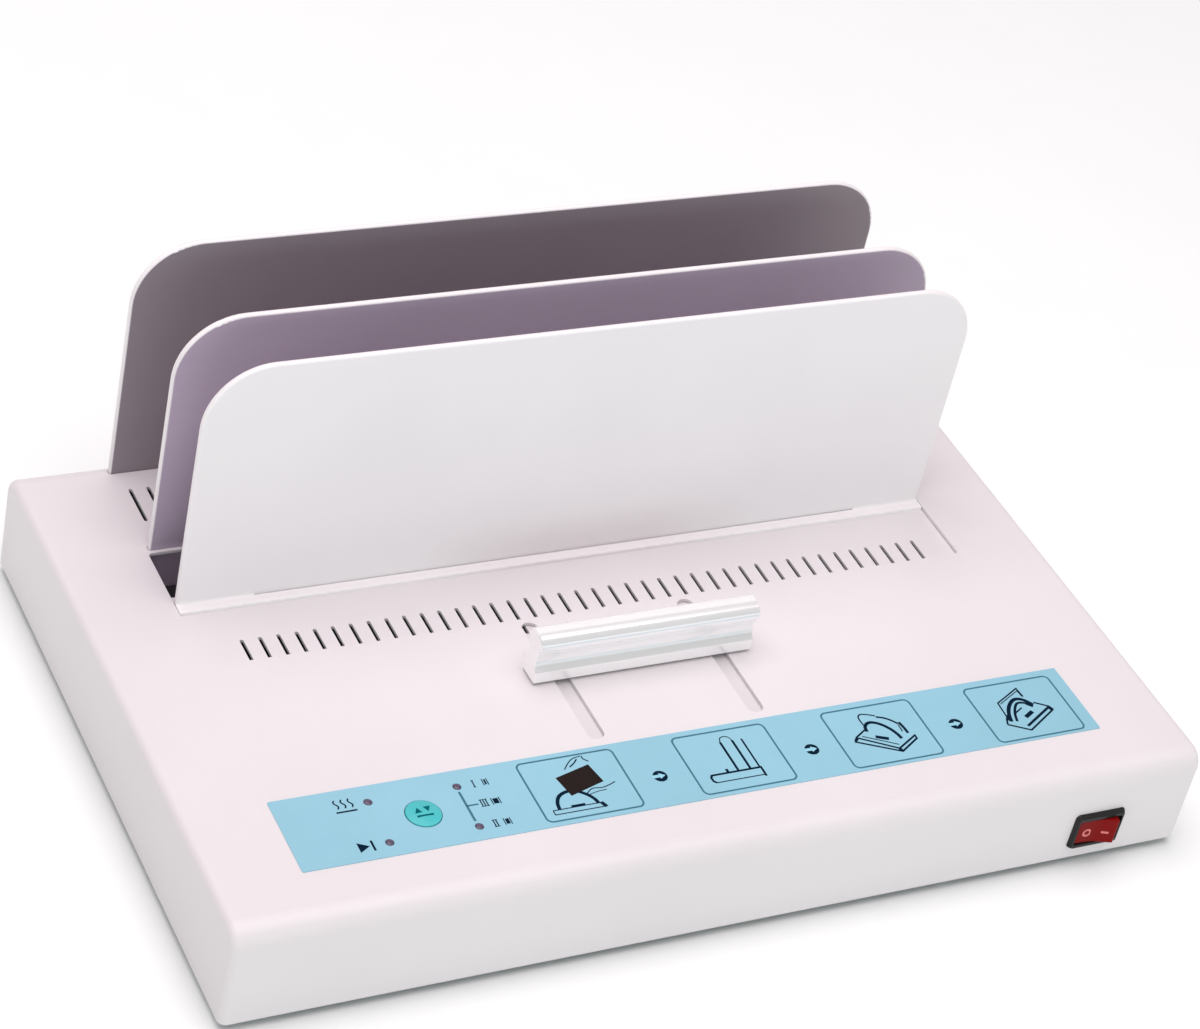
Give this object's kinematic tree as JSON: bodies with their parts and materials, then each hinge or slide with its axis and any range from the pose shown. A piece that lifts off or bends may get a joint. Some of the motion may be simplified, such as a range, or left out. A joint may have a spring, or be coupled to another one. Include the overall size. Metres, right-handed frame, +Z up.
{
  "type": "thermal binding machine",
  "caption": "Low white steel housing with a heated slot across its top, a sliding jaw with a bar handle, upright plates for booklets, a round key and a rocker switch.",
  "frame": {"origin": "middle of the part's bounding box at the level of the feet's undersides", "axes": "+X to the right of someone who faces the rocker switch, along the well; +Y from the front wall to the back wall; +Z up"},
  "size_m": [0.38, 0.2526, 0.1478],
  "materials": {
    "cover_paint": "warm white fine-textured powder coat",
    "plate_paint": "warm white smooth powder coat",
    "panel_paint": "warm white powder coat",
    "zinc_sheet": "zinc-plated sheet",
    "rubber_foot": "matte black rubber",
    "screw_steel": "zinc-plated steel",
    "rail_steel": "ground and polished steel",
    "clip_steel": "blued spring steel",
    "block_nylon": "natural nylon",
    "handle_aluminium": "satin clear-anodised extrusion",
    "hot_plate_coat": "black non-stick coating on aluminium",
    "mica": "mica laminate",
    "ceramic_white": "unglazed steatite",
    "thermostat_body": "phenolic with a bright cap",
    "fuse_metal": "bright metal case",
    "overlay_film": "pale blue printed film, satin",
    "key_teal": "teal moulded plastic",
    "lamp_lens": "tinted clear plastic",
    "board_green": "green solder mask",
    "part_black": "black moulded plastic",
    "terminal_green": "green moulded plastic",
    "core_steel": "lacquered laminations",
    "switch_black": "black moulded plastic",
    "rocker_red": "red translucent plastic",
    "tab_brass": "tinned brass",
    "inlet_black": "black moulded plastic"
  },
  "bodies": {
    "housing": {"cover": "cover_paint", "middle_plate": "plate_paint", "rear_plate": "plate_paint", "base_plate": "zinc_sheet", "middle_bracket": "zinc_sheet", "rear_bracket": "zinc_sheet", "left_rail_bracket": "zinc_sheet", "right_rail_bracket": "zinc_sheet", "left_end_wall": "zinc_sheet", "right_end_wall": "zinc_sheet", "heater_clamp": "zinc_sheet", "foot_front_left": "rubber_foot", "foot_front_right": "rubber_foot", "foot_rear_left": "rubber_foot", "foot_rear_right": "rubber_foot", "base_screws": "screw_steel", "foot_screws": "screw_steel", "plate_rivets": "screw_steel", "bracket_studs": "screw_steel", "bracket_nuts": "screw_steel", "frame_screws": "screw_steel", "heater_clamp_screws": "screw_steel", "heating_plate_screws": "screw_steel", "board_screws": "screw_steel", "inlet_screws": "screw_steel", "control_posts": "screw_steel", "power_posts": "screw_steel", "left_rail": "rail_steel", "right_rail": "rail_steel", "rail_clips": "clip_steel", "heating_plate": "hot_plate_coat", "heating_element": "mica", "insulators": "ceramic_white", "thermostat": "thermostat_body", "thermal_fuse": "fuse_metal", "panel_overlay": "overlay_film", "indicator_lamps": "lamp_lens", "control_board": "board_green", "power_board": "board_green", "tact_switch": "part_black", "relay": "part_black", "terminal_block": "terminal_green", "transformer": "core_steel", "rocker_switch_body": "switch_black", "rocker_terminals": "tab_brass", "inlet_pins": "tab_brass", "power_inlet": "inlet_black"},
    "jaw": {"slide_panel": "panel_paint", "jaw_plate": "plate_paint", "handle": "handle_aluminium", "handle_spacers": "screw_steel", "handle_screws": "screw_steel", "front_left_slide_block": "block_nylon", "front_right_slide_block": "block_nylon", "rear_left_slide_block": "block_nylon", "rear_right_slide_block": "block_nylon", "slide_block_screws": "screw_steel"},
    "rocker": {"rocker": "rocker_red"},
    "select_button": {"select_button": "key_teal"}
  },
  "joints": [
    {"name": "jaw_slide", "type": "slide", "parent": "housing", "child": "jaw", "axis": [0, 1, 0], "range_m": [-0.028, 0.024]},
    {"name": "rocker_tilt", "type": "hinge", "parent": "housing", "child": "rocker", "pos_m": [0.15, -0.11948, 0.0175], "axis": [0, 0, 1], "range_deg": [0, 24]},
    {"name": "button_press", "type": "slide", "parent": "housing", "child": "select_button", "axis": [0, 0, -1], "range_m": [0, 0.0004], "stiffness_N_per_m": 2000}
  ]
}
